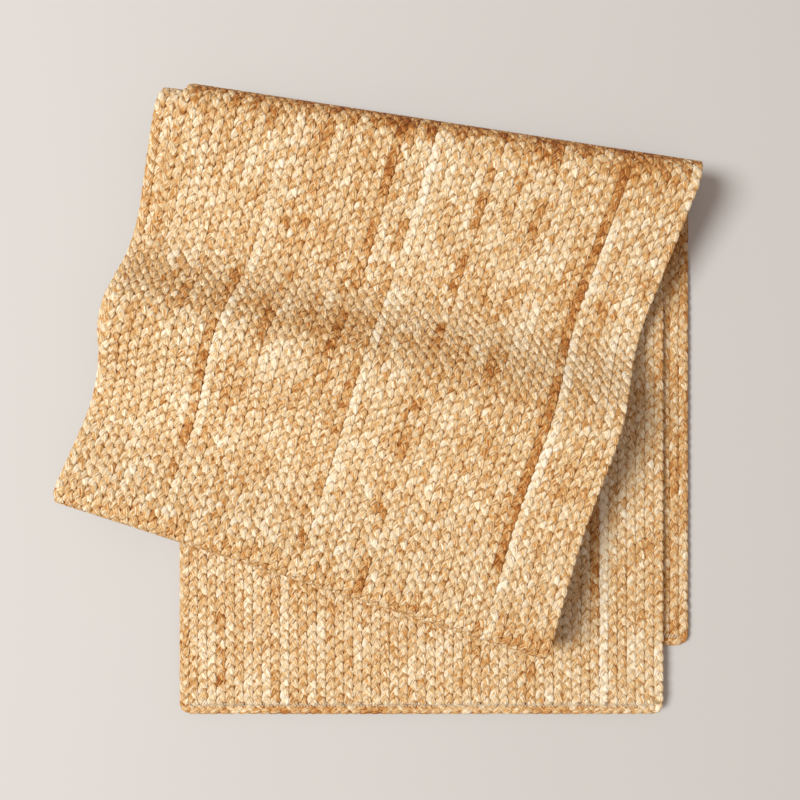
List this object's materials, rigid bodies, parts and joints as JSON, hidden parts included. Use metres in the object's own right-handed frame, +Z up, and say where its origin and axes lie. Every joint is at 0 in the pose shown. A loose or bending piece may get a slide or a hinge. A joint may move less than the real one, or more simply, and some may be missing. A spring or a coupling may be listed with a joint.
{
  "type": "table runner",
  "caption": "Braided natural jute table runner, folded in half twice and lying flat, with a skewed upper fold and a braided border.",
  "frame": {"origin": "on the table, under the middle of the folded runner's outline", "axes": "+Z up from the table; +Y along the lower braids, from the runner's two ends towards the upper fold; +X to the right, across the lower braids"},
  "size_m": [0.4532, 0.4545, 0.0557],
  "materials": {
    "jute": "coarse natural fibre",
    "thread": "matte thread"
  },
  "bodies": {
    "root": {"braid_01": "jute", "braid_02": "jute", "braid_03": "jute", "braid_04": "jute", "braid_05": "jute", "braid_06": "jute", "braid_07": "jute", "braid_08": "jute", "braid_09": "jute", "braid_10": "jute", "braid_11": "jute", "braid_12": "jute", "braid_13": "jute", "braid_14": "jute", "braid_15": "jute", "braid_16": "jute", "braid_17": "jute", "braid_18": "jute", "braid_19": "jute", "braid_20": "jute", "braid_21": "jute", "braid_22": "jute", "braid_23": "jute", "braid_24": "jute", "braid_25": "jute", "braid_26": "jute", "braid_27": "jute", "braid_28": "jute", "braid_29": "jute", "braid_30": "jute", "braid_31": "jute", "braid_32": "jute", "braid_33": "jute", "braid_34": "jute", "braid_35": "jute", "braid_36": "jute", "braid_37": "jute", "braid_38": "jute", "braid_39": "jute", "braid_40": "jute", "braid_41": "jute", "braid_42": "jute", "braid_43": "jute", "braid_44": "jute", "braid_45": "jute", "braid_46": "jute", "braid_47": "jute", "braid_48": "jute", "braid_49": "jute", "braid_50": "jute", "braid_51": "jute", "edge_braid": "jute", "seam_threads": "thread", "end_thread_first": "thread", "end_thread_second": "thread"}
  },
  "joints": []
}
